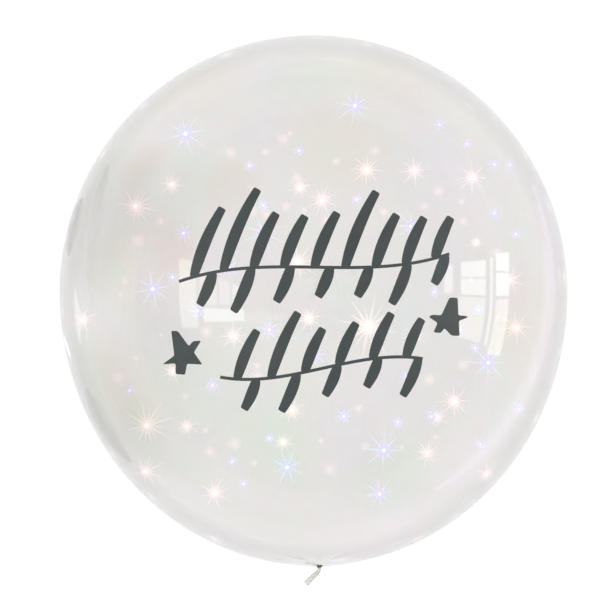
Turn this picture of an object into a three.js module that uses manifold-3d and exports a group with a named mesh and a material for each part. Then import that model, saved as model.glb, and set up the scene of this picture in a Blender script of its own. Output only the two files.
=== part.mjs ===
// Clear bubble balloon lying on its back, in millimetres.
// The decorated side faces +Z, the crown +Y and the tied neck -Y.
// The origin is the centre of the flat spot that the balloon rests on.

import * as THREE from 'three';
import { TessellateModifier } from 'three/addons/modifiers/TessellateModifier.js';
import { mergeVertices } from 'three/addons/utils/BufferGeometryUtils.js';
import Module from 'manifold-3d';

// Inflated film: two half-ellipsoids that meet at the equator
const EQUATOR_RADIUS = 286;
const CROWN_HEIGHT = 290;
const LOWER_HEIGHT = 307;
const FLAT_SPOT_RADIUS = 42;

// Gathered neck
const PLEAT_REACH = 60;
const PLEAT_DEPTH = 1.2;
const GATHER_RADIUS = 14;
const NECK_DROP = 1.2;
const PINCH_RADIUS = 1.2;
const PLEAT_COUNT = 8;
const PLEAT_SHARE = 0.25;

// Loose tail of film beyond the tie
const TAIL_LENGTH = 24;
const TAIL_END_RADIUS = 2.5;
const TAIL_TILT = THREE.MathUtils.degToRad(46);
const BEND_LENGTH = 5;

// Cord tied round the neck
const CORD_DIAMETER = 1.2;
const CORD_TURNS = 3;
const CORD_PITCH = 1.1;
const CORD_CLEARANCE = 0.3;
const KNOT_RADIUS = 1.1;

// Cut vinyl stuck on the film
const VINYL_THICKNESS = 0.2;
const VINYL_CLEARANCE = 0.3;
const VINYL_MAX_EDGE = 21;

// Vinyl stars: the middle of each one, and the corners of its hand-cut outline from there
const STARS = [
  {
    name: 'star_left',
    middle: [-133, -62],
    corners: [
      [-14.5, 26], [-7.5, 25.5], [3.5, 10], [8, 15], [16.5, 15.5], [8.5, 3.5], [17, -9],
      [1, -8], [-1.5, -19.5], [-11.5, -18.5], [-11, -7.5], [-25, -8.5], [-12, 0.5],
    ],
  },
  {
    name: 'star_right',
    middle: [138, -25.5],
    corners: [
      [-1, 17], [7.5, 16.5], [8, -1.5], [15.5, -2], [19, -3.5], [8.5, -7], [9, -22.5], [0.5, -22],
      [-7, -14], [-11, -19], [-18.5, -18], [-14, -8.5], [-23.5, -2], [-19, 0], [-10, -1],
    ],
  },
];

// Vinyl brush strokes slant across thin swaying lines, some above a line and some below it
const LINE_WIDTH = 3.2;
const STROKE_SLANT = THREE.MathUtils.degToRad(66);
const STROKE_BOW_SHARE = 0.07;
const STROKE_END_SHARE = 0.7;
const STROKE_BELLY = 0.8;
const BELOW_SHIFT = 0.4;

const UPPER_ROW_LEFT = [-138, 14];
const UPPER_ROW_RIGHT = [138, 36];
const UPPER_ROW_SWAY = 22;
const UPPER_STROKE_WIDTH = 12;
const UPPER_STROKES_ABOVE = [76, 90, 60, 56, 60, 84, 58, 52, 46];
const UPPER_STROKES_BELOW = [36, 48, 38, 32, 32, 44, 32];

const LOWER_ROW_LEFT = [-98, -84];
const LOWER_ROW_RIGHT = [108, -70];
const LOWER_ROW_SWAY = -18;
const LOWER_STROKE_WIDTH = 11.5;
const LOWER_STROKES_ABOVE = [54, 72, 48, 46, 50, 42];
const LOWER_STROKES_BELOW = [34, 42, 34, 32, 42];

// Facets
const SEGMENTS_PER_PLEAT = 6;
const CROWN_STEPS = 13;
const LOWER_STEPS = 11;
const PLEAT_STEPS = 5;
const NECK_STEPS = 4;
const TAIL_STEPS = 6;
const LINE_STEPS = 20;
const STROKE_STEPS = 5;
const CORD_SIDES = 6;
const CORD_SEGMENTS = 12;
const VINYL_SPLITS = 12;
const MERGE_DISTANCE = 1e-4;

// Looks
const CLEAR_FILM = { color: 0xe2e6e5, roughness: 0.08, transparent: true, opacity: 0.35 };
const OLIVE_CORD = { color: 0x55563f, roughness: 0.8 };
const SLATE_VINYL = { color: 0x4e5656, roughness: 0.55 };

// Places that follow from the sizes, measured from the centre of the balloon
const CENTRE_HEIGHT = Math.sqrt(EQUATOR_RADIUS ** 2 - FLAT_SPOT_RADIUS ** 2);
const TIE_TOP = -LOWER_HEIGHT - NECK_DROP;
const TIE_LENGTH = (CORD_TURNS - 1) * CORD_PITCH + CORD_DIAMETER;
const TIE_BOTTOM = TIE_TOP - TIE_LENGTH;
const TAIL_END = TIE_BOTTOM - TAIL_LENGTH;
const CORD_RING_RADIUS = PINCH_RADIUS * (1 + PLEAT_SHARE) + CORD_CLEARANCE + CORD_DIAMETER / 2;

const wasm = await Module();
wasm.setup();

// A closed geometry as a solid that can be joined and cut
function solidFrom(geometry) {
  const bare = new THREE.BufferGeometry();
  bare.setAttribute('position', geometry.getAttribute('position'));
  bare.setIndex(geometry.getIndex());
  const merged = mergeVertices(bare, MERGE_DISTANCE);
  const index = merged.getIndex().array;
  const corners = [];
  for (let i = 0; i < index.length; i += 3) {
    const triangle = [index[i], index[i + 1], index[i + 2]];
    if (new Set(triangle).size === 3) corners.push(...triangle);
  }
  const vertProperties = new Float32Array(merged.getAttribute('position').array);
  const triVerts = new Uint32Array(corners);
  return new wasm.Manifold(new wasm.Mesh({ numProp: 3, vertProperties, triVerts }));
}

function geometryFrom(solid) {
  const { vertProperties, triVerts } = solid.getMesh();
  const geometry = new THREE.BufferGeometry();
  geometry.setAttribute('position', new THREE.BufferAttribute(vertProperties, 3));
  geometry.setIndex(new THREE.BufferAttribute(triVerts, 1));
  return geometry;
}

function movePoints(geometry, move) {
  const positions = geometry.getAttribute('position');
  const point = new THREE.Vector3();
  for (let i = 0; i < positions.count; i += 1) {
    point.fromBufferAttribute(positions, i);
    move(point);
    positions.setXYZ(i, point.x, point.y, point.z);
  }
  return geometry;
}

function namedMesh(name, geometry, look) {
  geometry.computeVertexNormals();
  const mesh = new THREE.Mesh(geometry, new THREE.MeshStandardMaterial(look));
  mesh.name = name;
  return mesh;
}

// Points of a half-ellipse between two radii, the first one left out
function ellipseArc(height, fromRadius, toRadius, steps) {
  const fromAngle = Math.acos(fromRadius / EQUATOR_RADIUS);
  const toAngle = Math.acos(toRadius / EQUATOR_RADIUS);
  const points = [];
  for (let i = 1; i <= steps; i += 1) {
    const angle = THREE.MathUtils.lerp(fromAngle, toAngle, i / steps);
    points.push(new THREE.Vector2(EQUATOR_RADIUS * Math.cos(angle), height * Math.sin(angle)));
  }
  return points;
}

// The tail widens smoothly from the tie to its flat cut end
function tailProfile() {
  const points = [new THREE.Vector2(0, TAIL_END)];
  for (let i = 0; i <= TAIL_STEPS; i += 1) {
    const share = i / TAIL_STEPS;
    const radius = THREE.MathUtils.lerp(TAIL_END_RADIUS, PINCH_RADIUS, share ** 2);
    points.push(new THREE.Vector2(radius, THREE.MathUtils.lerp(TAIL_END, TIE_BOTTOM, share)));
  }
  return points;
}

// The neck leaves the tie upright and rounds out into the lower film
function neckProfile() {
  const [gather] = ellipseArc(-LOWER_HEIGHT, EQUATOR_RADIUS, GATHER_RADIUS, 1);
  const slope = (LOWER_HEIGHT / EQUATOR_RADIUS) ** 2 * GATHER_RADIUS / -gather.y;
  const corner = new THREE.Vector2(PINCH_RADIUS, gather.y - slope * (GATHER_RADIUS - PINCH_RADIUS));
  const curve = new THREE.QuadraticBezierCurve(new THREE.Vector2(PINCH_RADIUS, TIE_TOP), corner, gather);
  return curve.getPoints(NECK_STEPS);
}

function filmProfile() {
  return [
    ...tailProfile(),
    ...neckProfile(),
    ...ellipseArc(-LOWER_HEIGHT, GATHER_RADIUS, PLEAT_REACH, PLEAT_STEPS),
    ...ellipseArc(-LOWER_HEIGHT, PLEAT_REACH, EQUATOR_RADIUS, LOWER_STEPS),
    ...ellipseArc(CROWN_HEIGHT, EQUATOR_RADIUS, 0, CROWN_STEPS),
  ];
}

// Folds run from the neck into the lower film, and from the tie along the tail
function pleat(point) {
  const radius = Math.hypot(point.x, point.z);
  if (point.y > 0 || radius > PLEAT_REACH) return;
  const wave = Math.cos(PLEAT_COUNT * Math.atan2(point.x, point.z));
  const gathered = Math.min(radius / GATHER_RADIUS, 1);
  const fade = 1 - THREE.MathUtils.smoothstep(radius, GATHER_RADIUS, PLEAT_REACH);
  const stretch = 1 + PLEAT_SHARE * wave * (1 - gathered);
  point.x *= stretch;
  point.z *= stretch;
  if (point.y > TIE_TOP) point.y += PLEAT_DEPTH * wave * gathered * fade;
}

// The tail bends over to -X just below the tie
function bendTail(point) {
  const run = TIE_BOTTOM - point.y;
  if (run <= 0) return;
  const angle = TAIL_TILT * Math.min(run / BEND_LENGTH, 1);
  const bendRadius = BEND_LENGTH / TAIL_TILT;
  const straight = Math.max(run - BEND_LENGTH, 0);
  const side = point.x;
  point.x = side * Math.cos(angle) - bendRadius * (1 - Math.cos(angle)) - straight * Math.sin(angle);
  point.y = TIE_BOTTOM - side * Math.sin(angle) - bendRadius * Math.sin(angle) - straight * Math.cos(angle);
}

function balloonFilm() {
  const lathe = new THREE.LatheGeometry(filmProfile(), PLEAT_COUNT * SEGMENTS_PER_PLEAT);
  movePoints(lathe, pleat);
  movePoints(lathe, bendTail);
  const cutWidth = 4 * FLAT_SPOT_RADIUS;
  const cut = new THREE.BoxGeometry(cutWidth, cutWidth, EQUATOR_RADIUS);
  cut.translate(0, 0, -CENTRE_HEIGHT - EQUATOR_RADIUS / 2);
  const film = geometryFrom(solidFrom(lathe).subtract(solidFrom(cut)));
  return namedMesh('balloon_film', film, CLEAR_FILM);
}

function neckTie() {
  const knot = new THREE.SphereGeometry(KNOT_RADIUS, CORD_SIDES * 2, CORD_SIDES);
  knot.translate(0, TIE_TOP - TIE_LENGTH / 2, CORD_RING_RADIUS + CORD_DIAMETER / 2);
  let tie = solidFrom(knot);
  for (let turn = 0; turn < CORD_TURNS; turn += 1) {
    const ring = new THREE.TorusGeometry(CORD_RING_RADIUS, CORD_DIAMETER / 2, CORD_SIDES, CORD_SEGMENTS);
    ring.rotateX(Math.PI / 2);
    ring.translate(0, TIE_TOP - CORD_DIAMETER / 2 - turn * CORD_PITCH, 0);
    tie = tie.add(solidFrom(ring));
  }
  return namedMesh('neck_tie', geometryFrom(tie), OLIVE_CORD);
}

// Radius of the round section through the film at a height
function filmRadius(height) {
  const pole = height > 0 ? CROWN_HEIGHT : LOWER_HEIGHT;
  return EQUATOR_RADIUS * Math.sqrt(1 - (height / pole) ** 2);
}

// A flat vinyl point, seen from +Z, goes onto the film along the film's normal
function wrapOntoFilm(point) {
  const lift = VINYL_CLEARANCE + point.z;
  const pole = point.y > 0 ? CROWN_HEIGHT : LOWER_HEIGHT;
  point.z = Math.sqrt(filmRadius(point.y) ** 2 - point.x ** 2);
  const normal = new THREE.Vector3(point.x, point.y * (EQUATOR_RADIUS / pole) ** 2, point.z).normalize();
  point.addScaledVector(normal, lift);
}

// Flat cut-outs are joined into one sheet and laid on the film
function vinylMesh(name, shapes) {
  const extrusion = { depth: VINYL_THICKNESS, bevelEnabled: false };
  const solids = shapes.map((shape) => solidFrom(new THREE.ExtrudeGeometry(shape, extrusion)));
  const sheet = geometryFrom(solids.reduce((joined, solid) => joined.add(solid)));
  const split = new TessellateModifier(VINYL_MAX_EDGE, VINYL_SPLITS).modify(sheet);
  return namedMesh(name, movePoints(mergeVertices(split, MERGE_DISTANCE), wrapOntoFilm), SLATE_VINYL);
}

function starShape(middle, corners) {
  const place = new THREE.Vector2(...middle);
  return new THREE.Shape(corners.map((corner) => new THREE.Vector2(...corner).add(place)));
}

// A brush mark along a curve, with its width given at each share of the length
function brushShape(curve, widthAt, steps) {
  const left = [];
  const right = [];
  for (let i = 0; i <= steps; i += 1) {
    const share = i / steps;
    const point = curve.getPoint(share);
    const tangent = curve.getTangent(share);
    const across = new THREE.Vector2(-tangent.y, tangent.x).multiplyScalar(widthAt(share) / 2);
    left.push(point.clone().add(across));
    right.push(point.clone().sub(across));
  }
  return new THREE.Shape([...right, ...left.reverse()]);
}

// A stroke bows a little, swells from its foot and narrows to a blunt end
function strokeShape(foot, angle, length, width) {
  const along = new THREE.Vector2(Math.cos(angle), Math.sin(angle)).multiplyScalar(length);
  const bow = new THREE.Vector2(-along.y, along.x).multiplyScalar(STROKE_BOW_SHARE);
  const middle = foot.clone().addScaledVector(along, 0.5).add(bow);
  const curve = new THREE.QuadraticBezierCurve(foot, middle, foot.clone().add(along));
  const swell = (share) => Math.sin(Math.PI * share ** STROKE_BELLY);
  const widthAt = (share) => width * THREE.MathUtils.lerp(STROKE_END_SHARE, 1, swell(share));
  return brushShape(curve, widthAt, STROKE_STEPS);
}

// The strokes of a row stand evenly spaced on its line, the lower ones between the upper ones
function rowShapes(left, right, sway, strokeWidth, above, below) {
  const from = new THREE.Vector2(...left);
  const to = new THREE.Vector2(...right);
  const rise = from.clone().lerp(to, 1 / 3).add(new THREE.Vector2(0, sway));
  const dip = from.clone().lerp(to, 2 / 3).sub(new THREE.Vector2(0, sway));
  const line = new THREE.CubicBezierCurve(from, rise, dip, to);
  const strokes = (lengths, angle, shift) => lengths.map((length, i) => {
    const foot = line.getPoint((i + 0.5 + shift) / lengths.length);
    return strokeShape(foot, angle, length, strokeWidth);
  });
  return [
    brushShape(line, () => LINE_WIDTH, LINE_STEPS),
    ...strokes(above, STROKE_SLANT, 0),
    ...strokes(below, STROKE_SLANT - Math.PI, BELOW_SHIFT),
  ];
}

function strokesUpper() {
  const strokes = [UPPER_STROKE_WIDTH, UPPER_STROKES_ABOVE, UPPER_STROKES_BELOW];
  return vinylMesh('strokes_upper', rowShapes(UPPER_ROW_LEFT, UPPER_ROW_RIGHT, UPPER_ROW_SWAY, ...strokes));
}

function strokesLower() {
  const strokes = [LOWER_STROKE_WIDTH, LOWER_STROKES_ABOVE, LOWER_STROKES_BELOW];
  return vinylMesh('strokes_lower', rowShapes(LOWER_ROW_LEFT, LOWER_ROW_RIGHT, LOWER_ROW_SWAY, ...strokes));
}

const body = new THREE.Group();
body.position.z = CENTRE_HEIGHT;
body.add(balloonFilm(), neckTie(), strokesUpper(), strokesLower());
STARS.forEach(({ name, middle, corners }) => body.add(vinylMesh(name, [starShape(middle, corners)])));

const balloon = new THREE.Group();
balloon.add(body);

export default balloon;
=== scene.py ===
"""Looks of the clear bubble balloon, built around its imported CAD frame. Units are metres."""

import math
import random

import bpy
import numpy as np
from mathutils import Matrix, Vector
from mathutils.geometry import delaunay_2d_cdt

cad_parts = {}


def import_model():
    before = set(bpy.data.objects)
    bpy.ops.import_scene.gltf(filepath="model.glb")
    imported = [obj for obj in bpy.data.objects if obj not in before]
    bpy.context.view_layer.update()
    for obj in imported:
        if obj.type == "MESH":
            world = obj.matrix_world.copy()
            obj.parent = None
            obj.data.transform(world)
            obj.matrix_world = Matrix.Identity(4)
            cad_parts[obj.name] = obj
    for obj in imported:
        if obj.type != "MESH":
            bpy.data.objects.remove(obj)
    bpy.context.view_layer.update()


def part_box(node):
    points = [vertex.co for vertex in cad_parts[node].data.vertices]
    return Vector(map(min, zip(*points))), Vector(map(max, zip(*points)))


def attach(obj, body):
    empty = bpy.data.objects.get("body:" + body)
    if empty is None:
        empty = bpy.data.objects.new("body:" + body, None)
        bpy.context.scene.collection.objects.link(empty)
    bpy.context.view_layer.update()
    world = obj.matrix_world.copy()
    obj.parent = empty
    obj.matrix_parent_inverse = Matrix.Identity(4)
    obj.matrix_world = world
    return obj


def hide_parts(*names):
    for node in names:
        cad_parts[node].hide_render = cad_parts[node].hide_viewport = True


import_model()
MM = 0.001

# Film, read from the frame where its box shows the size
FILM_LOW, FILM_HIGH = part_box("balloon_film")
TIE_LOW, TIE_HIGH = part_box("neck_tie")
EQUATOR_RADIUS = FILM_HIGH.x
CROWN_HEIGHT = FILM_HIGH.y
CENTRE = Vector((0, 0, FILM_HIGH.z - EQUATOR_RADIUS))
NECK_DROP = 1.2 * MM
LOWER_HEIGHT = -TIE_HIGH.y - NECK_DROP
TIE_TOP = TIE_HIGH.y
TIE_BOTTOM = TIE_LOW.y
FILM_WALL = 0.4 * MM
FLAT_SPOT_SOFTNESS = 0.3 * MM

# Gathered neck and tail
PLEAT_REACH = 60 * MM
PLEAT_DEPTH = 1.2 * MM
PLEAT_COUNT = 8
PLEAT_SHARE = 0.25
GATHER_RADIUS = 14 * MM
PINCH_RADIUS = 1.2 * MM
INNER_NECK_RADIUS = 8 * MM
WRINKLE_COUNT = 3 * PLEAT_COUNT
WRINKLE_DEPTH = 0.35 * MM
WRINKLE_SWAY = 2
WRINKLE_SWAY_COUNT = 3
TAIL_LENGTH = 24 * MM
TAIL_END_RADIUS = 2.5 * MM
TAIL_TILT = math.radians(46)
BEND_LENGTH = 5 * MM

# Fineness of the film
FILM_SEGMENTS = 192
TAIL_STEPS = 24
NECK_STEPS = 10
PLEAT_STEPS = 16
LOWER_STEPS = 36
CROWN_STEPS = 44
POLE_FAN_RADIUS = 2 * MM

# Cord round the neck
CORD_RADIUS = 0.6 * MM
CORD_TURNS = 3
CORD_RING_RADIUS = 2.4 * MM
KNOT_RADIUS = 1.1 * MM
CORD_STEPS = 48 * CORD_TURNS
CORD_SIDES = 12
CORD_TWIST_SCALE = 700
CORD_TWIST_DEPTH = 0.1 * MM
CORD_TINTS = ((0.2, (0.14, 0.14, 0.09)), (0.8, (0.34, 0.34, 0.24)))

# Vinyl
VINYL_CLEARANCE = 0.3 * MM
VINYL_THICKNESS = 0.18 * MM
VINYL_GRID = 5 * MM
CORNER_REACH = 2 * MM
CORNER_SHARE = 0.45
CORNER_STEPS = 4
VINYL_GRAIN_SCALE = 60
VINYL_GRAIN_DETAIL = 4
VINYL_GRAIN_DEPTH = 0.02 * MM
VINYL_TINTS = ((0.3, (0.062, 0.078, 0.078)), (0.7, (0.078, 0.096, 0.096)))

# The triangulation's kind that keeps what lies inside the outlines, and how near points are joined
KEEP_INSIDE = 1
JOIN_DISTANCE = 1e-6

# The middle of each star, and the corners of its hand-cut outline from there
STARS = {
    "star_left": ((-133, -62), (
        (-14.5, 26), (-7.5, 25.5), (3.5, 10), (8, 15), (16.5, 15.5), (8.5, 3.5), (17, -9),
        (1, -8), (-1.5, -19.5), (-11.5, -18.5), (-11, -7.5), (-25, -8.5), (-12, 0.5),
    )),
    "star_right": ((138, -25.5), (
        (-1, 17), (7.5, 16.5), (8, -1.5), (15.5, -2), (19, -3.5), (8.5, -7), (9, -22.5), (0.5, -22),
        (-7, -14), (-11, -19), (-18.5, -18), (-14, -8.5), (-23.5, -2), (-19, 0), (-10, -1),
    )),
}

# Brush strokes on thin lines
LINE_WIDTH = 3.2 * MM
LINE_STEPS = 90
STROKE_SLANT = math.radians(66)
STROKE_BOW_SHARE = 0.07
STROKE_END_SHARE = 0.7
STROKE_BELLY = 0.8
STROKE_STEPS = 12
BELOW_SHIFT = 0.4
ROWS = {
    "strokes_upper": {
        "left": (-138, 14),
        "right": (138, 36),
        "sway": 22,
        "width": 12,
        "above": (76, 90, 60, 56, 60, 84, 58, 52, 46),
        "below": (36, 48, 38, 32, 32, 44, 32),
    },
    "strokes_lower": {
        "left": (-98, -84),
        "right": (108, -70),
        "sway": -18,
        "width": 11.5,
        "above": (54, 72, 48, 46, 50, 42),
        "below": (34, 42, 34, 32, 42),
    },
}

# Camera: the photograph's frame is 600 pixels square
FRAME_PIXELS = 600
FOCAL_PIXELS = 2206
BALLOON_PIXEL = (313.3, 293)
CAMERA_DISTANCE = 2.5
LEAN = math.radians(1.3)
SENSOR_WIDTH = 36
PIXEL = CAMERA_DISTANCE / FOCAL_PIXELS

# Tones of the film: all over, and towards its rim as it turns from the eye. The rim tones are painted
# shade, darkest in a band just inside the rim.
FILM_TONE = (0.936, 0.932, 0.928)
RIM_SHADE_TONES = (
    (0.0, 1.0), (0.13, 0.975), (0.29, 0.97), (0.47, 0.99), (0.58, 0.96),
    (0.66, 0.87), (0.72, 0.81), (0.84, 0.82), (1.0, 1.0),
)

# Soft tints of the film: colour, radius in pixels, and where each one shows in the photograph. The two
# grey rows are painted shade on the film's left side.
FILM_TINTS_AND_SHADE = (
    ((0.955, 1.0, 0.955), 42, ((300, 78), (272, 440), (388, 478), (205, 395))),
    ((1.0, 0.975, 0.935), 48, ((390, 76), (340, 140), (196, 88), (530, 320), (120, 385), (140, 260))),
    ((0.985, 0.93, 0.915), 26, ((142, 167), (230, 185), (175, 250))),
    ((1.035, 1.005, 1.035), 45, ((360, 535), (400, 530), (470, 460), (465, 200))),
    # painted shade: these two grey rows darken the film's left side
    ((0.845, 0.85, 0.835), 72, ((98, 218), (104, 410))),
    ((0.935, 0.945, 0.935), 50, ((165, 200), (155, 345), (160, 440))),
    ((1.07, 1.075, 1.085), 30, ((320, 562),)),
)

# Faint mottling between green, cream, rose and lilac
MOTTLE_SCALE = 13
MOTTLE_DETAIL = 3
MOTTLE_TINTS = (
    (0.34, (0.970, 1.000, 0.975)),
    (0.45, (0.995, 0.985, 0.965)),
    (0.52, (0.990, 0.990, 0.990)),
    (0.60, (0.995, 0.970, 0.980)),
    (0.68, (0.980, 0.980, 1.000)),
)

# Gathered film from the tie to the tail's end
GATHERED_TINTS = (
    (0.0, (0.84, 0.86, 0.72)),
    (0.45, (0.96, 0.98, 0.89)),
    (0.7, (1.0, 1.0, 1.0)),
)

# Sparkles, painted glints that glow on the film: where their centres show in the photograph, and the
# size of each
BLUE_BURSTS = (
    (185, 133, 1.0), (355, 105, 0.85), (152, 289, 0.9), (263, 233, 0.85), (411, 226, 0.6),
    (489, 363, 0.9), (384, 451, 0.9), (380, 495, 0.75), (287, 468, 0.85), (269, 330, 0.55),
    (183, 233, 0.45), (229, 268, 0.5), (197, 311, 0.4), (212, 386, 0.4), (344, 417, 0.4),
    (520, 410, 0.4), (315, 356, 0.5),
)
PINK_BURSTS = (
    (135, 206, 0.85), (171, 184, 0.5), (146, 426, 1.1), (145, 472, 0.85), (214, 494, 0.75),
    (186, 427, 0.5), (367, 169, 0.75), (415, 170, 0.65), (473, 177, 0.7), (322, 200, 0.65),
    (300, 187, 0.5), (298, 262, 0.9), (369, 327, 1.5), (233, 336, 0.65), (309, 319, 0.6),
    (292, 411, 0.6), (283, 443, 0.45), (428, 454, 0.65), (455, 402, 0.75), (488, 475, 0.65),
    (82, 320, 0.7), (511, 280, 0.65), (517, 328, 0.75), (438, 418, 0.4), (477, 242, 0.3),
    (416, 336, 0.5), (172, 372, 0.5),
)
BLUE_DOTS = (
    (440, 124), (468, 143), (495, 164), (511, 164), (299, 150), (249, 165), (495, 213),
    (517, 234), (361, 222), (357, 199), (172, 277), (263, 205), (479, 310), (435, 292),
    (461, 330), (476, 348), (407, 377), (250, 404), (129, 391), (398, 423), (432, 417),
    (269, 439), (232, 462), (243, 485), (481, 445),
)
BLUE_DOT_SIZE = 0.26
ROSE_DOTS = (
    (283, 138, 1.6), (290, 133, 0.8), (230, 152, 1.6), (265, 151, 1.1), (252, 188, 0.8),
    (336, 161, 1.2), (375, 150, 1.5), (439, 191, 1.5), (425, 206, 1.1), (384, 212, 1.2),
    (286, 206, 1.4), (251, 211, 1.8), (266, 214, 1.6), (297, 178, 1.6), (304, 210, 1.0),
    (326, 220, 1.4), (400, 216, 0.8), (462, 201, 0.9), (464, 221, 1.2), (472, 280, 0.7),
    (497, 253, 1.6), (499, 317, 0.8), (464, 365, 1.8), (430, 380, 1.6), (436, 438, 1.0),
    (402, 448, 0.8), (365, 447, 1.2), (359, 409, 1.4), (330, 470, 1.7), (321, 441, 0.9),
    (160, 221, 1.0), (137, 240, 1.7), (124, 281, 1.1), (120, 295, 0.8), (161, 335, 0.7),
    (135, 359, 0.8), (117, 378, 1.8), (185, 397, 0.8), (234, 444, 1.9), (209, 452, 1.5),
    (205, 431, 0.9), (206, 332, 1.7), (257, 366, 1.0), (257, 377, 1.8), (254, 464, 1.0),
)
NEAR_SIZE = 0.8
SPARKLE_INSET = 1.2 * MM
LAYER_STEP = 0.3 * MM
LEAST_TILT = 0.5

# Sparkles round the side, which the photograph doesn't show
SIDE_SPARKLES = 20
SIDE_JITTER = 0.3
SIDE_LEVEL = 0.04
SIDE_SIZES = (0.3, 0.7)
SEED = 7

# Full measures of a burst in pixels, and the share that the smallest keeps of each
CORE_RADIUS = 2.5
CORE_LEAST = 0.4
BURST_REACH = 29
REACH_LEAST = 0.1
RAY_WIDTH = 3.6
WIDTH_LEAST = 0.55

# Rings of a burst's core and halo, and of a soft dot: radius and glow as shares
CORE_RINGS = ((0.05, 1), (0.55, 0.95))
HALO_RINGS = ((1.15, 0.72), (1.9, 0.28), (3.2, 0))
DOT_RINGS = ((0.2, 0.6), (1.8, 0.36), (4.6, 0))
DISC_SIDES = 16

# Rays of a burst: start by the core, lengths by the reach, and a section of places and glow
RAY_PAIRS = 8
RAY_START = 0.9
LONG_RAYS = (0.88, 1.05)
SHORT_RAYS = (0.6, 0.75)
SHORT_RAY_WIDTH = 0.85
RAY_STEPS = 5
RAY_TAPER = 0.85
RAY_FADE = 1.5
RAY_SECTION = ((-1, 0), (-0.5, 1), (0.5, 1), (1, 0))

SPARKLE_STRENGTH = 1.35
SPARKLE_BASE = (0.02, 0.02, 0.02, 1)
WHITE = (1.0, 1.0, 1.0)
VIOLET = (0.60, 0.57, 0.90)
CYAN = (0.63, 0.76, 0.89)
MAGENTA = (0.80, 0.57, 0.83)
BLUSH = (0.92, 0.82, 0.83)
PALE_PINK = (0.88, 0.755, 0.745)
ROSE = (0.88, 0.76, 0.78)

# Colours of a burst: its halo, its long rays and its short rays
BLUE_COLOURS = (VIOLET, CYAN, MAGENTA)
PINK_COLOURS = (BLUSH, PALE_PINK, PALE_PINK)
BLUE_GLOW = 0.86
PINK_GLOW = 0.82

# Windows: the panes as they show in the photograph's gloss, each given by its left and right edge,
# the heights of its top edge at both, the heights of its bottom edge at both, and its tone
PANE_WHITE = (1.0, 0.99, 1.0)
PANE_CREAM = (0.74, 0.70, 0.62)
PANE_ROSE = (0.62, 0.55, 0.57)
PANE_BLUSH = (0.86, 0.79, 0.82)
PANE_FAINT = (0.30, 0.29, 0.29)
RIGHT_WINDOW = (
    (444, 453, 266, 265, 293, 293, PANE_BLUSH),
    (461, 486, 262, 260, 277, 277, PANE_WHITE),
    (461, 486, 278.5, 278.5, 294.5, 295.5, PANE_WHITE),
    (459, 486, 296.5, 297.5, 336, 343, PANE_CREAM),
    (490, 493, 258, 257, 345, 346, PANE_BLUSH),
    (496, 509, 254, 252, 271, 271, PANE_WHITE),
    (496, 509, 273, 273, 296, 296, PANE_WHITE),
    (496, 509, 299, 299, 354, 356, PANE_CREAM),
)
LEFT_WINDOW = (
    (179, 196, 258, 262, 328, 328, PANE_CREAM),
    (199, 217, 270, 277, 305, 305, PANE_ROSE),
    (219, 230, 278, 282, 305, 305, PANE_ROSE),
    (232, 241, 283, 287, 306, 307, PANE_CREAM),
    (202, 243, 308, 309, 322, 321, PANE_WHITE),
    (245, 284, 311, 314, 321, 320, PANE_FAINT),
)
WINDOW_RADIANCE = 5.4
WINDOW_DISTANCE = 1.2
WINDOW_BOW = 9
WINDOW_BOW_FROM = 290
WINDOW_BOW_SPAN = 65
PANE_SOFTNESS = 1
PANE_CUTS = 6

# Long cards beside the balloon: the line that each one's reflection follows, its width and its tone
CARDS = (
    (((533, 185), (560, 262), (560, 330), (533, 405), (488, 460), (435, 490)), 13, (1.52, 1.36, 1.60)),
    (((82, 198), (74, 224), (68, 256)), 7, (0.62, 0.63, 0.60)),
    (((108, 165), (90, 232), (92, 310)), 10, (0.62, 0.62, 0.58)),
    (((86, 388), (102, 424), (130, 462)), 11, (0.72, 0.72, 0.66)),
    (((75, 288), (80, 344)), 5, (1.75, 1.70, 1.75)),
    (((83, 306), (88, 348)), 3, (1.25, 1.20, 1.25)),
    (((64, 336), (70, 356)), 2.5, (1.7, 1.6, 1.75)),
)
CARD_RADIANCE = 1
CARD_DISTANCE = 0.25
CARD_SECTION = ((-1.6, 0), (-0.4, 1), (0.4, 1), (1.6, 0))
CARD_STEPS = 24
CARD_TIP_SHARE = 0.02

# Floor and surroundings
FLOOR_GAP = 0.5 * MM
FLOOR_HALF = 12
FLOOR_TONE = (0.25, 0.25, 0.25, 1)
FLOOR_LIT_WITHIN = 0.6
FLOOR_DIM_BEYOND = 1.8
FLOOR_LIGHT = 0.87
FLOOR_DIM_LIGHT = 0.52
WORLD_TONES = ((0.0, 0.66), (0.5, 0.70), (1.0, 0.74))


def between(low, high, share):
    return low + (high - low) * share


def bezier(controls, share):
    """Point and direction of a Bezier curve at a share of its run."""
    points = list(controls)
    while len(points) > 2:
        points = [a.lerp(b, share) for a, b in zip(points, points[1:])]
    return points[0].lerp(points[1], share), (points[1] - points[0]).normalized()


def sideways(along):
    return Vector((-along.y, along.x))


# Objects and materials
def new_object(name, points, faces, material, smooth=True):
    mesh = bpy.data.meshes.new(name)
    mesh.from_pydata([tuple(point) for point in points], [], faces)
    mesh.validate()
    if smooth:
        mesh.shade_smooth()
    else:
        mesh.shade_flat()
    mesh.materials.append(material)
    made = bpy.data.objects.new(name, mesh)
    bpy.context.scene.collection.objects.link(made)
    return made


def store_tints(made, tints):
    """Keeps a colour for each point, which its material reads."""
    tint = made.data.attributes.new("tint", "FLOAT_COLOR", "POINT")
    tint.data.foreach_set("color", np.array(tints, np.float32).ravel())


def new_material(name):
    material = bpy.data.materials.new(name)
    material.use_nodes = True
    nodes = material.node_tree.nodes
    return material, nodes, material.node_tree.links, nodes["Principled BSDF"]


def set_inputs(node, values):
    for name, value in values.items():
        node.inputs[name].default_value = value


def object_place(nodes):
    return nodes.new("ShaderNodeTexCoord").outputs["Object"]


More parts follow.
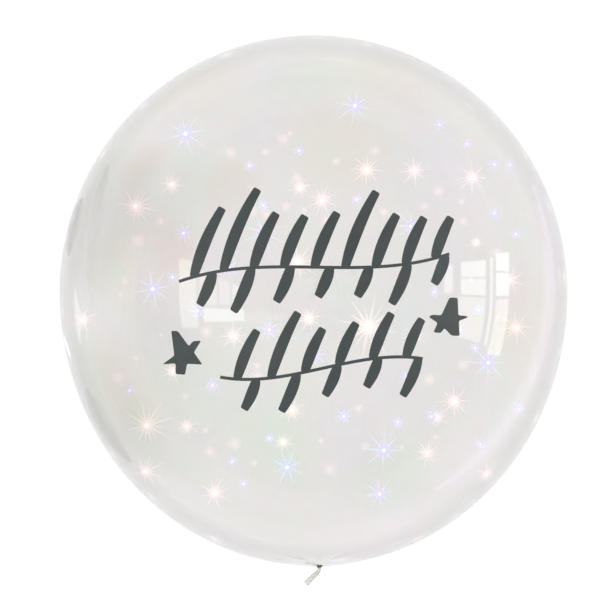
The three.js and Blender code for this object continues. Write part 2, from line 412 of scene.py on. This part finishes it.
def stored_value(nodes, name):
    """The node that reads what is kept for each point under a name."""
    stored = nodes.new("ShaderNodeAttribute")
    stored.attribute_name = name
    return stored


def noise_pattern(nodes, links, scale, detail):
    noise = nodes.new("ShaderNodeTexNoise")
    set_inputs(noise, {"Scale": scale, "Detail": detail})
    links.new(object_place(nodes), noise.inputs["Vector"])
    return noise.outputs["Fac"]


def ramp(nodes, links, pattern, stops):
    """The colour that a pattern picks from stops."""
    made = nodes.new("ShaderNodeValToRGB")
    elements = made.color_ramp.elements
    while len(elements) < len(stops):
        elements.new(0.5)
    for element, (position, colour) in zip(elements, stops):
        element.position = position
        element.color = (*colour, 1)
    links.new(pattern, made.inputs["Fac"])
    return made.outputs["Color"]


def greys(stops):
    return [(position, (tone, tone, tone)) for position, tone in stops]


def multiplied(nodes, links, first, second):
    mix = nodes.new("ShaderNodeMix")
    mix.data_type = "RGBA"
    mix.blend_type = "MULTIPLY"
    mix.inputs["Factor"].default_value = 1
    links.new(first, mix.inputs["A"])
    links.new(second, mix.inputs["B"])
    return mix.outputs["Result"]


def texture(nodes, links, shader, pattern, tints, depth):
    """Tints and bumps a surface with one pattern."""
    links.new(ramp(nodes, links, pattern, tints), shader.inputs["Base Color"])
    bump = nodes.new("ShaderNodeBump")
    bump.inputs["Distance"].default_value = depth
    links.new(pattern, bump.inputs["Height"])
    links.new(bump.outputs["Normal"], shader.inputs["Normal"])


# Lines of sight
def camera_axes():
    """Right and up of the picture in the row frame. The balloon leans to the left in it."""
    right = Vector((math.cos(LEAN), -math.sin(LEAN), 0))
    up = Vector((math.sin(LEAN), math.cos(LEAN), 0))
    return right, up


def camera_place():
    """The camera, seen from the balloon's centre."""
    right, up = camera_axes()
    across = (FRAME_PIXELS / 2 - BALLOON_PIXEL[0]) * PIXEL
    upward = (BALLOON_PIXEL[1] - FRAME_PIXELS / 2) * PIXEL
    return right * across + up * upward + Vector((0, 0, CAMERA_DISTANCE))


def sight_line(x, y):
    right, up = camera_axes()
    across = (x - FRAME_PIXELS / 2) / FOCAL_PIXELS
    upward = (FRAME_PIXELS / 2 - y) / FOCAL_PIXELS
    return right * across + up * upward + Vector((0, 0, -1))


def film_at_pixel(x, y, far=False):
    """Where the line of sight through a pixel meets the near or far film, from the centre."""
    sight = sight_line(x, y)
    pole = CROWN_HEIGHT if y < BALLOON_PIXEL[1] else LOWER_HEIGHT
    rounding = Vector((1, EQUATOR_RADIUS / pole, 1))
    start = camera_place() * rounding
    along = sight * rounding
    half = start.dot(along) / along.dot(along)
    rest = (start.dot(start) - EQUATOR_RADIUS ** 2) / along.dot(along)
    root = math.sqrt(max(half * half - rest, 0))
    return camera_place() + sight * (-half + (root if far else -root))


def pole_height(point):
    """Height of the half of the film that a point lies in."""
    return CROWN_HEIGHT if point.y > 0 else LOWER_HEIGHT


def film_normal(point):
    flattening = EQUATOR_RADIUS / pole_height(point)
    return Vector((point.x, point.y * flattening ** 2, point.z)).normalized()


def mirrored(x, y, distance):
    """What the film's gloss shows at a pixel, at a distance from the film."""
    hit = film_at_pixel(x, y)
    sight = sight_line(x, y).normalized()
    normal = film_normal(hit)
    return CENTRE + hit + (sight - 2 * sight.dot(normal) * normal) * distance


# Film
def arc(height, from_radius, to_radius, steps):
    """Rings of a half-ellipse between two radii, as (radius, height), the first one left out."""
    start = math.acos(from_radius / EQUATOR_RADIUS)
    end = math.acos(to_radius / EQUATOR_RADIUS)
    angles = [between(start, end, i / steps) for i in range(1, steps + 1)]
    return [(EQUATOR_RADIUS * math.cos(angle), height * math.sin(angle)) for angle in angles]


def tail_profile():
    """The tail widens smoothly from the tie to its end."""
    rings = []
    for i in range(TAIL_STEPS + 1):
        share = i / TAIL_STEPS
        radius = between(TAIL_END_RADIUS, PINCH_RADIUS, share ** 2)
        rings.append((radius, TIE_BOTTOM - TAIL_LENGTH * (1 - share)))
    return rings


def neck_profile():
    """The neck leaves the tie upright and rounds out into the lower film."""
    gather = Vector(arc(-LOWER_HEIGHT, EQUATOR_RADIUS, GATHER_RADIUS, 1)[0])
    slope = (LOWER_HEIGHT / EQUATOR_RADIUS) ** 2 * GATHER_RADIUS / -gather.y
    corner = Vector((PINCH_RADIUS, gather.y - slope * (GATHER_RADIUS - PINCH_RADIUS)))
    controls = (Vector((PINCH_RADIUS, TIE_TOP)), corner, gather)
    return [tuple(bezier(controls, i / NECK_STEPS)[0]) for i in range(NECK_STEPS + 1)]


def round_profile(from_radius):
    return [
        *arc(-LOWER_HEIGHT, from_radius, PLEAT_REACH, PLEAT_STEPS),
        *arc(-LOWER_HEIGHT, PLEAT_REACH, EQUATOR_RADIUS, LOWER_STEPS),
        *arc(CROWN_HEIGHT, EQUATOR_RADIUS, POLE_FAN_RADIUS, CROWN_STEPS),
    ]


def pleated(radius, height, angle):
    """A point of the film with its neck pleats, before the tail is bent."""
    wave = math.cos(PLEAT_COUNT * angle)
    if height < 0 and radius < PLEAT_REACH:
        gathered = min(radius / GATHER_RADIUS, 1)
        share = min(max((PLEAT_REACH - radius) / (PLEAT_REACH - GATHER_RADIUS), 0), 1)
        fade = share * share * (3 - 2 * share)
        sway = WRINKLE_SWAY * math.sin(WRINKLE_SWAY_COUNT * angle)
        wrinkle = math.cos(WRINKLE_COUNT * angle + sway)
        if height > TIE_TOP:
            height += (PLEAT_DEPTH * wave + WRINKLE_DEPTH * wrinkle) * gathered * fade
        radius *= 1 + PLEAT_SHARE * wave * (1 - gathered)
    return Vector((radius * math.sin(angle), height, radius * math.cos(angle)))


def bent(point):
    """Bends what is beyond the tie over to -X."""
    run = TIE_BOTTOM - point.y
    if run <= 0:
        return point
    angle = TAIL_TILT * min(run / BEND_LENGTH, 1)
    bend_radius = BEND_LENGTH / TAIL_TILT
    straight = max(run - BEND_LENGTH, 0)
    along_x = -bend_radius * (1 - math.cos(angle)) - straight * math.sin(angle)
    along_y = -bend_radius * math.sin(angle) - straight * math.cos(angle)
    x = point.x * math.cos(angle) + along_x
    y = TIE_BOTTOM - point.x * math.sin(angle) + along_y
    return Vector((x, y, point.z))


def rested(point, wall):
    """Flattens the film softly where it rests on the floor."""
    height = point.z - wall
    eased = (height + math.hypot(height, 2 * FLAT_SPOT_SOFTNESS)) / 2
    return Vector((point.x, point.y, wall + eased))


def revolve(profile, wall, inside):
    """Points and faces of a closed turned skin, drawn in by the wall and rested on the floor."""
    count = FILM_SEGMENTS

    def placed(radius, height, angle):
        drawn_in = pleated(radius, height, angle) * (1 - wall / EQUATOR_RADIUS)
        return rested(bent(drawn_in) + CENTRE, wall)

    points = [placed(r, h, 2 * math.pi * i / count) for r, h in profile for i in range(count)]
    faces = []
    for ring in range(len(profile) - 1):
        low = ring * count
        for i in range(count):
            j = (i + 1) % count
            faces.append((low + i, low + j, low + count + j, low + count + i))
    last = len(points) - count
    first_pole = len(points)
    points.append(placed(0, profile[0][1], 0))
    points.append(placed(0, profile[-1][1], 0))
    for i in range(count):
        j = (i + 1) % count
        faces.append((j, i, first_pole))
        faces.append((last + i, last + j, first_pole + 1))
    if inside:
        faces = [tuple(reversed(face)) for face in faces]
    return points, faces


def film_tints_and_shade(points):
    """The soft tint of the film at each point, with painted shade where the grey patches lie."""
    places = np.array([tuple(point - CENTRE) for point in points])
    tints = np.tile((*FILM_TONE, 1.0), (len(points), 1))
    for colour, radius, centres in FILM_TINTS_AND_SHADE:
        for x, y in centres:
            near = np.array(film_at_pixel(x, y))
            away = np.linalg.norm(places - near, axis=1) / (radius * PIXEL)
            share = np.exp(-away ** 4)[:, None]
            tints[:, :3] *= 1 + (np.array(colour) - 1) * share
    return tints


def film_material():
    """Clear film with soft tints and mottling, darker just inside its rim; the rim's darkening and the
    grey tints are painted shade.
    """
    material, nodes, links, shader = new_material("clear_film")
    tint = stored_value(nodes, "tint")
    pattern = noise_pattern(nodes, links, MOTTLE_SCALE, MOTTLE_DETAIL)
    mottle = ramp(nodes, links, pattern, MOTTLE_TINTS)
    mottled = multiplied(nodes, links, tint.outputs["Color"], mottle)
    # painted shade: the rim ramp darkens the film's colour as it turns from the eye
    grazing = nodes.new("ShaderNodeLayerWeight")
    rim = ramp(nodes, links, grazing.outputs["Facing"], greys(RIM_SHADE_TONES))
    links.new(multiplied(nodes, links, mottled, rim), shader.inputs["Base Color"])
    set_inputs(shader, {"Roughness": 0.02, "IOR": 1.45, "Transmission Weight": 1})
    return material


def gathered_material():
    """Film gathered in many layers looks milky, and olive in the tie's shade."""
    material, nodes, links, shader = new_material("gathered_film")
    split = nodes.new("ShaderNodeSeparateXYZ")
    links.new(object_place(nodes), split.inputs["Vector"])
    along = nodes.new("ShaderNodeMapRange")
    set_inputs(along, {"From Min": TIE_BOTTOM, "From Max": FILM_LOW.y})
    links.new(split.outputs["Y"], along.inputs["Value"])
    tints = ramp(nodes, links, along.outputs["Result"], GATHERED_TINTS)
    links.new(tints, shader.inputs["Base Color"])
    set_inputs(shader, {"Roughness": 0.15, "IOR": 1.45, "Transmission Weight": 0.8})
    return material


def is_gathered(place):
    """True in the tie and beyond it."""
    from_axis = math.hypot(place.x, place.z - CENTRE.z)
    return place.y < TIE_BOTTOM or place.y < TIE_TOP and from_axis < CORD_RING_RADIUS


def balloon_film():
    profile = [*tail_profile(), *neck_profile(), *round_profile(GATHER_RADIUS)]
    outer, outer_faces = revolve(profile, 0, False)
    inner, inner_faces = revolve(round_profile(INNER_NECK_RADIUS), FILM_WALL, True)
    shifted = [tuple(i + len(outer) for i in face) for face in inner_faces]
    points = outer + inner
    film = new_object("clear_film", points, outer_faces + shifted, film_material())
    film.data.materials.append(gathered_material())
    for face in film.data.polygons:
        face.material_index = 1 if is_gathered(face.center) else 0
    store_tints(film, film_tints_and_shade(points))
    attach(film, "root")
    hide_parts("balloon_film")


# Cord
def cord_material():
    material, nodes, links, shader = new_material("olive_cord")
    wave = nodes.new("ShaderNodeTexWave")
    wave.bands_direction = "DIAGONAL"
    wave.inputs["Scale"].default_value = CORD_TWIST_SCALE
    links.new(object_place(nodes), wave.inputs["Vector"])
    texture(nodes, links, shader, wave.outputs["Fac"], CORD_TINTS, CORD_TWIST_DEPTH)
    set_inputs(shader, {"Roughness": 0.85})
    return material


def tube(path, radius, sides):
    """Points and faces of a closed round tube along a path."""
    points = []
    for i, here in enumerate(path):
        ahead = path[min(i + 1, len(path) - 1)]
        behind = path[max(i - 1, 0)]
        along = (ahead - behind).normalized()
        side = along.cross(Vector((0, 1, 0))).normalized()
        up = side.cross(along)
        for k in range(sides):
            angle = 2 * math.pi * k / sides
            points.append(here + radius * (math.cos(angle) * side + math.sin(angle) * up))
    faces = []
    for i in range(len(path) - 1):
        for k in range(sides):
            j = (k + 1) % sides
            faces.append((i * sides + k, i * sides + j, (i + 1) * sides + j, (i + 1) * sides + k))
    faces.append(tuple(reversed(range(sides))))
    faces.append(tuple(len(points) - sides + k for k in range(sides)))
    return points, faces


def ball(centre, radius, sides):
    """Points and faces of a round ball."""
    points = []
    for line in range(sides + 1):
        level = math.pi * line / sides
        for i in range(2 * sides):
            angle = math.pi * i / sides
            ring = Vector((math.cos(angle), math.sin(angle), 0)) * math.sin(level)
            points.append(centre + (ring + Vector((0, 0, math.cos(level)))) * radius)
    faces = []
    for line in range(sides):
        low = line * 2 * sides
        for i in range(2 * sides):
            j = (i + 1) % (2 * sides)
            faces.append((low + i, low + 2 * sides + i, low + 2 * sides + j, low + j))
    return points, faces


def neck_tie():
    """One winding round the neck, with a knot on its upper side."""
    first = TIE_TOP - CORD_RADIUS
    last = TIE_BOTTOM + CORD_RADIUS
    path = []
    for i in range(CORD_STEPS + 1):
        share = i / CORD_STEPS
        angle = 2 * math.pi * CORD_TURNS * share
        ring = Vector((math.sin(angle), 0, math.cos(angle))) * CORD_RING_RADIUS
        path.append(CENTRE + ring + Vector((0, between(first, last, share), 0)))
    points, faces = tube(path, CORD_RADIUS, CORD_SIDES)
    knot_place = CENTRE + Vector((0, (first + last) / 2, CORD_RING_RADIUS + CORD_RADIUS))
    knot, knot_faces = ball(knot_place, KNOT_RADIUS, CORD_SIDES)
    faces += [tuple(i + len(points) for i in face) for face in knot_faces]
    tie = new_object("olive_tie", points + knot, faces, cord_material())
    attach(tie, "root")
    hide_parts("neck_tie")


# Vinyl
def vinyl_material():
    material, nodes, links, shader = new_material("slate_vinyl")
    grain = noise_pattern(nodes, links, VINYL_GRAIN_SCALE, VINYL_GRAIN_DETAIL)
    texture(nodes, links, shader, grain, VINYL_TINTS, VINYL_GRAIN_DEPTH)
    set_inputs(shader, {"Roughness": 0.6})
    return material


def ellipsoid_radius(height):
    """Radius of the film's round section at a height along its axis."""
    pole = CROWN_HEIGHT if height > 0 else LOWER_HEIGHT
    return EQUATOR_RADIUS * math.sqrt(max(0, 1 - (height / pole) ** 2))


def on_film(flat, lift):
    """The place over a flat point, lifted off the film along the film's normal."""
    depth = math.sqrt(ellipsoid_radius(flat.y) ** 2 - flat.x * flat.x)
    point = Vector((flat.x, flat.y, depth))
    return CENTRE + point + film_normal(point) * lift


def joined_plan(outlines):
    """Flat points and triangles of the joined shape of outlines, with a grid inside to bend on."""
    corners = []
    loops = []
    for outline in outlines:
        loops.append(list(range(len(corners), len(corners) + len(outline))))
        corners += outline
    flat = np.array([tuple(corner) for corner in corners])
    low = flat.min(0)
    columns, lines = (int(n) + 1 for n in (flat.max(0) - low) / VINYL_GRID)
    steps = [(i, j) for i in range(columns) for j in range(lines)]
    grid = [Vector((low[0] + i * VINYL_GRID, low[1] + j * VINYL_GRID)) for i, j in steps]
    points, _, triangles, *_ = delaunay_2d_cdt(corners + grid, [], loops, KEEP_INSIDE, JOIN_DISTANCE)
    used = sorted({i for triangle in triangles for i in triangle})
    index = {old: new for new, old in enumerate(used)}
    return [points[i] for i in used], [tuple(index[i] for i in triangle) for triangle in triangles]


def sheet_object(name, outlines, material):
    """One thin closed sheet with the joined shape of flat outlines, laid on the film."""
    plan, triangles = joined_plan(outlines)
    top = [on_film(point, VINYL_CLEARANCE + VINYL_THICKNESS) for point in plan]
    bottom = [on_film(point, VINYL_CLEARANCE) for point in plan]
    count = len(plan)
    edges = {(t[k], t[(k + 1) % 3]) for t in triangles for k in range(3)}
    rim = [(a, b) for a, b in edges if (b, a) not in edges]
    faces = list(triangles)
    faces += [tuple(count + i for i in reversed(t)) for t in triangles]
    faces += [(b, a, count + a, count + b) for a, b in sorted(rim)]
    return new_object(name, top + bottom, faces, material, smooth=False)


def softened(corners):
    """Rounds each corner of a closed outline within a short reach along its sides."""
    soft = []
    for before, here, ahead in zip(corners[-1:] + corners[:-1], corners, corners[1:] + corners[:1]):
        start = here.lerp(before, min(CORNER_SHARE, CORNER_REACH / (before - here).length))
        end = here.lerp(ahead, min(CORNER_SHARE, CORNER_REACH / (ahead - here).length))
        for step in range(CORNER_STEPS + 1):
            soft.append(bezier((start, here, end), step / CORNER_STEPS)[0])
    return soft


def star_outline(middle, corners):
    return softened([(Vector(middle) + Vector(corner)) * MM for corner in corners])


def brush_outline(controls, width_at, steps):
    """Outline of a brush mark along a curve, with its width given at each share of the run."""
    left = []
    right = []
    for i in range(steps + 1):
        share = i / steps
        here, along = bezier(controls, share)
        across = sideways(along) * width_at(share) / 2
        left.append(here + across)
        right.append(here - across)
    return right + left[::-1]


def stroke_outline(foot, angle, length, width):
    """A stroke bows a little, swells from its foot and narrows to a blunt end."""
    along = Vector((math.cos(angle), math.sin(angle))) * length
    controls = (foot, foot + along / 2 + sideways(along) * STROKE_BOW_SHARE, foot + along)

    def width_at(share):
        swell = math.sin(math.pi * share ** STROKE_BELLY)
        return width * between(STROKE_END_SHARE, 1, swell)

    return softened(brush_outline(controls, width_at, STROKE_STEPS))


def row_outlines(row):
    """A swaying line with evenly spaced strokes, the lower ones between the upper ones."""
    start = Vector(row["left"]) * MM
    end = Vector(row["right"]) * MM
    sway = Vector((0, row["sway"])) * MM
    line = (start, start.lerp(end, 1 / 3) + sway, start.lerp(end, 2 / 3) - sway, end)
    outlines = [brush_outline(line, lambda share: LINE_WIDTH, LINE_STEPS)]
    for lengths, angle, shift in (
        (row["above"], STROKE_SLANT, 0),
        (row["below"], STROKE_SLANT - math.pi, BELOW_SHIFT),
    ):
        for i, length in enumerate(lengths):
            foot, _ = bezier(line, (i + 0.5 + shift) / len(lengths))
            outlines.append(stroke_outline(foot, angle, length * MM, row["width"] * MM))
    return outlines


def vinyl_pieces():
    material = vinyl_material()
    outlines = {name: [star_outline(*star)] for name, star in STARS.items()}
    outlines |= {name: row_outlines(row) for name, row in ROWS.items()}
    for node, shapes in outlines.items():
        piece = sheet_object(f"vinyl_{node}", shapes, material)
        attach(piece, "root")
        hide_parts(node)


# Sparkles, painted glints that glow on the film
def onto_film(point, inset):
    """The point of the film over or under a point, drawn in by inset."""
    level = point.y * EQUATOR_RADIUS / pole_height(point)
    size = math.sqrt(point.x ** 2 + level ** 2 + point.z ** 2)
    return rested(point * ((EQUATOR_RADIUS - inset) / size) + CENTRE, inset)


def at_pixel(x, y, far):
    """Gives the place on the film that shows some pixels across and up from a pixel.

    Near the rim it keeps within a least tilt, so that nothing is drawn out along the film."""
    centre = film_at_pixel(x, y, far)
    normal = film_normal(centre)
    sight = sight_line(x, y).normalized()
    tilt = sight.dot(normal)
    tilt = math.copysign(max(abs(tilt), LEAST_TILT), tilt)
    right, up = camera_axes()
    pixel = (CAMERA_DISTANCE - centre.z) / FOCAL_PIXELS

    def place(across, upward):
        offset = (right * across + up * upward) * pixel
        return centre + offset - sight * (offset.dot(normal) / tilt)

    return place


def at_side(angle, level):
    """Gives the place on the film some pixels from where a direction from the centre meets it."""
    direction = Vector((math.cos(angle), math.sin(angle), level))
    centre = direction.normalized() * EQUATOR_RADIUS
    nearly_crown = Vector((0, 1, 0.001))
    east = nearly_crown.cross(centre).normalized()
    north = centre.cross(east).normalized()
    return lambda across, upward: centre + (east * across + north * upward) * PIXEL


def grown(full, least, size):
    """A full measure brought down to a size, with its least share kept."""
    return full * between(least, 1, size)


class GlowingGlints:
    """Gathers painted glints, sparkles of like colours that glow on the film, into one mesh, with a
    colour and a glow at each point.
    """

    def __init__(self, colours, glow):
        self.halo, self.long_colour, self.short_colour = colours
        self.glow = glow
        self.points = []
        self.tints = []
        self.faces = []

    def lattice(self, rows, closed):
        """Faces between rows of (point, colour, glow), all rows of one length."""
        base = len(self.points)
        width = len(rows[0])
        for row in rows:
            self.points += [point for point, _, _ in row]
            self.tints += [(*colour, glow) for _, colour, glow in row]
        for line in range(len(rows) - 1):
            low = base + line * width
            for i in range(width if closed else width - 1):
                j = (i + 1) % width
                self.faces.append((low + i, low + width + i, low + width + j, low + j))

    def disc(self, place, rings):
        """A round patch on the film, its rings given as (radius, colour, glow)."""
        turns = [2 * math.pi * i / DISC_SIDES for i in range(DISC_SIDES)]
        rows = []
        for radius, colour, glow in rings:
            spots = [place(radius * math.cos(turn), radius * math.sin(turn)) for turn in turns]
            rows.append([(onto_film(spot, SPARKLE_INSET), colour, glow) for spot in spots])
        self.lattice(rows, True)

    def ray(self, place, angle, start, reach, width, colour, inset):
        """A ray that tapers to its tip and fades there, with soft sides."""
        cosine = math.cos(angle)
        sine = math.sin(angle)
        rows = []
        for i in range(RAY_STEPS + 1):
            share = i / RAY_STEPS
            along = between(start, reach, share)
            half = width / 2 * (1 - RAY_TAPER * share)
            light = self.glow * (1 - share ** RAY_FADE)
            row = []
            for shift, strength in RAY_SECTION:
                across = half * shift
                spot = place(along * cosine - across * sine, along * sine + across * cosine)
                row.append((onto_film(spot, inset), colour, light * strength))
            rows.append(row)
        self.lattice(rows, False)

    def burst(self, place, size, chance):
        """A star of light: a white core, a soft halo, long rays and shorter rays between them."""
        core = grown(CORE_RADIUS, CORE_LEAST, size)
        reach = grown(BURST_REACH, REACH_LEAST, size)
        width = grown(RAY_WIDTH, WIDTH_LEAST, size)
        rings = [(share * core, WHITE, glow) for share, glow in CORE_RINGS]
        rings += [(share * core, self.halo, glow) for share, glow in HALO_RINGS]
        self.disc(place, rings)
        start = RAY_START * core
        narrow = SHORT_RAY_WIDTH * width
        long_inset = SPARKLE_INSET + LAYER_STEP
        short_inset = SPARKLE_INSET + 2 * LAYER_STEP
        turn = chance.uniform(0, math.pi)
        for i in range(RAY_PAIRS):
            angle = turn + 2 * math.pi * i / RAY_PAIRS
            length = reach * chance.uniform(*LONG_RAYS)
            self.ray(place, angle, start, length, width, self.long_colour, long_inset)
            angle += math.pi / RAY_PAIRS
            length = reach * chance.uniform(*SHORT_RAYS)
            self.ray(place, angle, start, length, narrow, self.short_colour, short_inset)

    def soft_dot(self, place, size, colour):
        self.disc(place, [(share * size, colour, glow) for share, glow in DOT_RINGS])

    def make(self, name, material):
        made = new_object(name, self.points, self.faces, material)
        store_tints(made, self.tints)
        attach(made, "root")


def sparkle_material(name):
    """Painted glints: light that shows as strongly as each point's glow, though the sparkles are no
    lamp.
    """
    material, nodes, links, shader = new_material(name)
    tint = stored_value(nodes, "tint")
    links.new(tint.outputs["Color"], shader.inputs["Emission Color"])
    links.new(tint.outputs["Alpha"], shader.inputs["Alpha"])
    # painted glints: the emission makes the sparkle patches glow
    set_inputs(shader, {"Base Color": SPARKLE_BASE, "Emission Strength": SPARKLE_STRENGTH})
    set_inputs(shader, {"Specular IOR Level": 0, "Roughness": 1})
    return material


def sparkles():
    """Large bursts lie on the near film. Smaller ones and dots lie on the near and far film in turn."""
    chance = random.Random(SEED)
    blue = GlowingGlints(BLUE_COLOURS, BLUE_GLOW)
    pink = GlowingGlints(PINK_COLOURS, PINK_GLOW)
    for glints, bursts in ((blue, BLUE_BURSTS), (pink, PINK_BURSTS)):
        for i, (x, y, size) in enumerate(bursts):
            far = size < NEAR_SIZE and i % 2 == 1
            glints.burst(at_pixel(x, y, far), size, chance)
    for i, (x, y) in enumerate(BLUE_DOTS):
        blue.burst(at_pixel(x, y, i % 2 == 1), BLUE_DOT_SIZE, chance)
    for i, (x, y, size) in enumerate(ROSE_DOTS):
        pink.soft_dot(at_pixel(x, y, i % 2 == 1), size, ROSE)
    for i in range(SIDE_SPARKLES):
        angle = 2 * math.pi * (i + chance.uniform(-SIDE_JITTER, SIDE_JITTER)) / SIDE_SPARKLES
        place = at_side(angle, chance.uniform(-SIDE_LEVEL, SIDE_LEVEL))
        glints = blue if i % 2 else pink
        glints.burst(place, chance.uniform(*SIDE_SIZES), chance)
    blue.make("sparkles_blue", sparkle_material("blue_sparkle"))
    pink.make("sparkles_pink", sparkle_material("pink_sparkle"))


# Studio
def floor():
    """A pale floor, lit up evenly round the balloon and dimmer further out."""
    material, nodes, links, shader = new_material("pale_floor")
    distance = nodes.new("ShaderNodeVectorMath")
    distance.operation = "LENGTH"
    links.new(object_place(nodes), distance.inputs[0])
    fading = nodes.new("ShaderNodeMapRange")
    fading.interpolation_type = "SMOOTHSTEP"
    set_inputs(fading, {"From Min": FLOOR_LIT_WITHIN, "From Max": FLOOR_DIM_BEYOND})
    set_inputs(fading, {"To Min": FLOOR_LIGHT, "To Max": FLOOR_DIM_LIGHT})
    links.new(distance.outputs["Value"], fading.inputs["Value"])
    links.new(fading.outputs["Result"], shader.inputs["Emission Strength"])
    set_inputs(shader, {"Emission Color": (*WHITE, 1), "Base Color": FLOOR_TONE})
    set_inputs(shader, {"Roughness": 0.9, "Specular IOR Level": 0})
    half = FLOOR_HALF
    corners = [(-half, -half, 0), (half, -half, 0), (half, half, 0), (-half, half, 0)]
    ground = new_object("floor", corners, [(0, 1, 2, 3)], material, smooth=False)
    ground.location.z = -FLOOR_GAP


def world():
    """Even surroundings, a little lighter towards the top."""
    made = bpy.data.worlds.new("studio")
    made.use_nodes = True
    nodes = made.node_tree.nodes
    links = made.node_tree.links
    place = nodes.new("ShaderNodeTexCoord")
    split = nodes.new("ShaderNodeSeparateXYZ")
    links.new(place.outputs["Generated"], split.inputs["Vector"])
    tones = ramp(nodes, links, split.outputs["Z"], greys(WORLD_TONES))
    links.new(tones, nodes["Background"].inputs["Color"])
    bpy.context.scene.world = made


def glossy_only(name, points, opacities, faces, colour, radiance):
    """A stage panel that shows only in the gloss of the film, with an opacity for each point."""
    material, nodes, links, shader = new_material(name)
    links.new(stored_value(nodes, "opacity").outputs["Fac"], shader.inputs["Alpha"])
    set_inputs(shader, {"Emission Color": (*colour, 1), "Emission Strength": radiance})
    set_inputs(shader, {"Base Color": (0, 0, 0, 1), "Specular IOR Level": 0})
    panel = new_object(name, points, faces, material, smooth=False)
    opacity = panel.data.attributes.new("opacity", "FLOAT", "POINT")
    opacity.data.foreach_set("value", opacities)
    panel.visible_camera = False
    panel.visible_diffuse = False
    panel.visible_transmission = False
    panel.visible_shadow = False


def sheet_faces(lines, width):
    """Faces of a grid of points with some lines, each of some points."""
    corners = [line * width + i for line in range(lines - 1) for i in range(width - 1)]
    return [(c, c + 1, c + width + 1, c + width) for c in corners]


def soft_stations(low, high):
    """Places from edge to edge with their opacities, which fade out over each edge."""
    first = low + PANE_SOFTNESS
    last = high - PANE_SOFTNESS
    inner = [(between(first, last, i / PANE_CUTS), 1) for i in range(PANE_CUTS + 1)]
    return [(low - PANE_SOFTNESS, 0), *inner, (high + PANE_SOFTNESS, 0)]


def window_bow(x, y):
    """How far the round gloss bows an upright window bar inwards at a pixel, in pixels."""
    side = math.copysign(WINDOW_BOW, x - BALLOON_PIXEL[0])
    return side * max(0, (y - WINDOW_BOW_FROM) / WINDOW_BOW_SPAN) ** 2


def pane(name, left, right, top_left, top_right, bottom_left, bottom_right, tone):
    """One pane of light with soft edges."""
    points = []
    opacities = []
    columns = soft_stations(left, right)
    for x, across in columns:
        share = (x - left) / (right - left)
        top = between(top_left, top_right, share)
        bottom = between(bottom_left, bottom_right, share)
        for y, down in soft_stations(top, bottom):
            points.append(mirrored(x - window_bow(x, y), y, WINDOW_DISTANCE))
            opacities.append(across * down)
    faces = sheet_faces(len(columns), len(columns))
    glossy_only(name, points, opacities, faces, tone, WINDOW_RADIANCE)


def window(name, panes):
    for number, values in enumerate(panes):
        pane(f"{name}_{number + 1}", *values)


def card(name, route, width, tone):
    """A long narrow card with soft sides, whose reflection follows a route of pixels."""
    controls = [Vector(pixel) for pixel in route]
    points = []
    opacities = []
    for i in range(CARD_STEPS + 1):
        here, along = bezier(controls, i / CARD_STEPS)
        share = min(max(i / CARD_STEPS, CARD_TIP_SHARE), 1 - CARD_TIP_SHARE)
        half = width / 2 * math.sqrt(math.sin(math.pi * share))
        for shift, opacity in CARD_SECTION:
            pixel = here + sideways(along) * half * shift
            points.append(mirrored(pixel.x, pixel.y, CARD_DISTANCE))
            opacities.append(opacity)
    faces = sheet_faces(CARD_STEPS + 1, len(CARD_SECTION))
    glossy_only(name, points, opacities, faces, tone, CARD_RADIANCE)


def camera():
    data = bpy.data.cameras.new("camera")
    data.sensor_width = SENSOR_WIDTH
    data.lens = FOCAL_PIXELS / FRAME_PIXELS * SENSOR_WIDTH
    made = bpy.data.objects.new("camera", data)
    bpy.context.scene.collection.objects.link(made)
    made.location = CENTRE + camera_place()
    made.rotation_euler = (0, 0, -LEAN)
    bpy.context.scene.camera = made


def studio():
    floor()
    world()
    window("window_right", RIGHT_WINDOW)
    window("window_left", LEFT_WINDOW)
    for number, (route, width, tone) in enumerate(CARDS):
        card(f"card_{number + 1}", route, width, tone)
    camera()
    bpy.context.scene.view_settings.view_transform = "Standard"


balloon_film()
neck_tie()
vinyl_pieces()
sparkles()
studio()
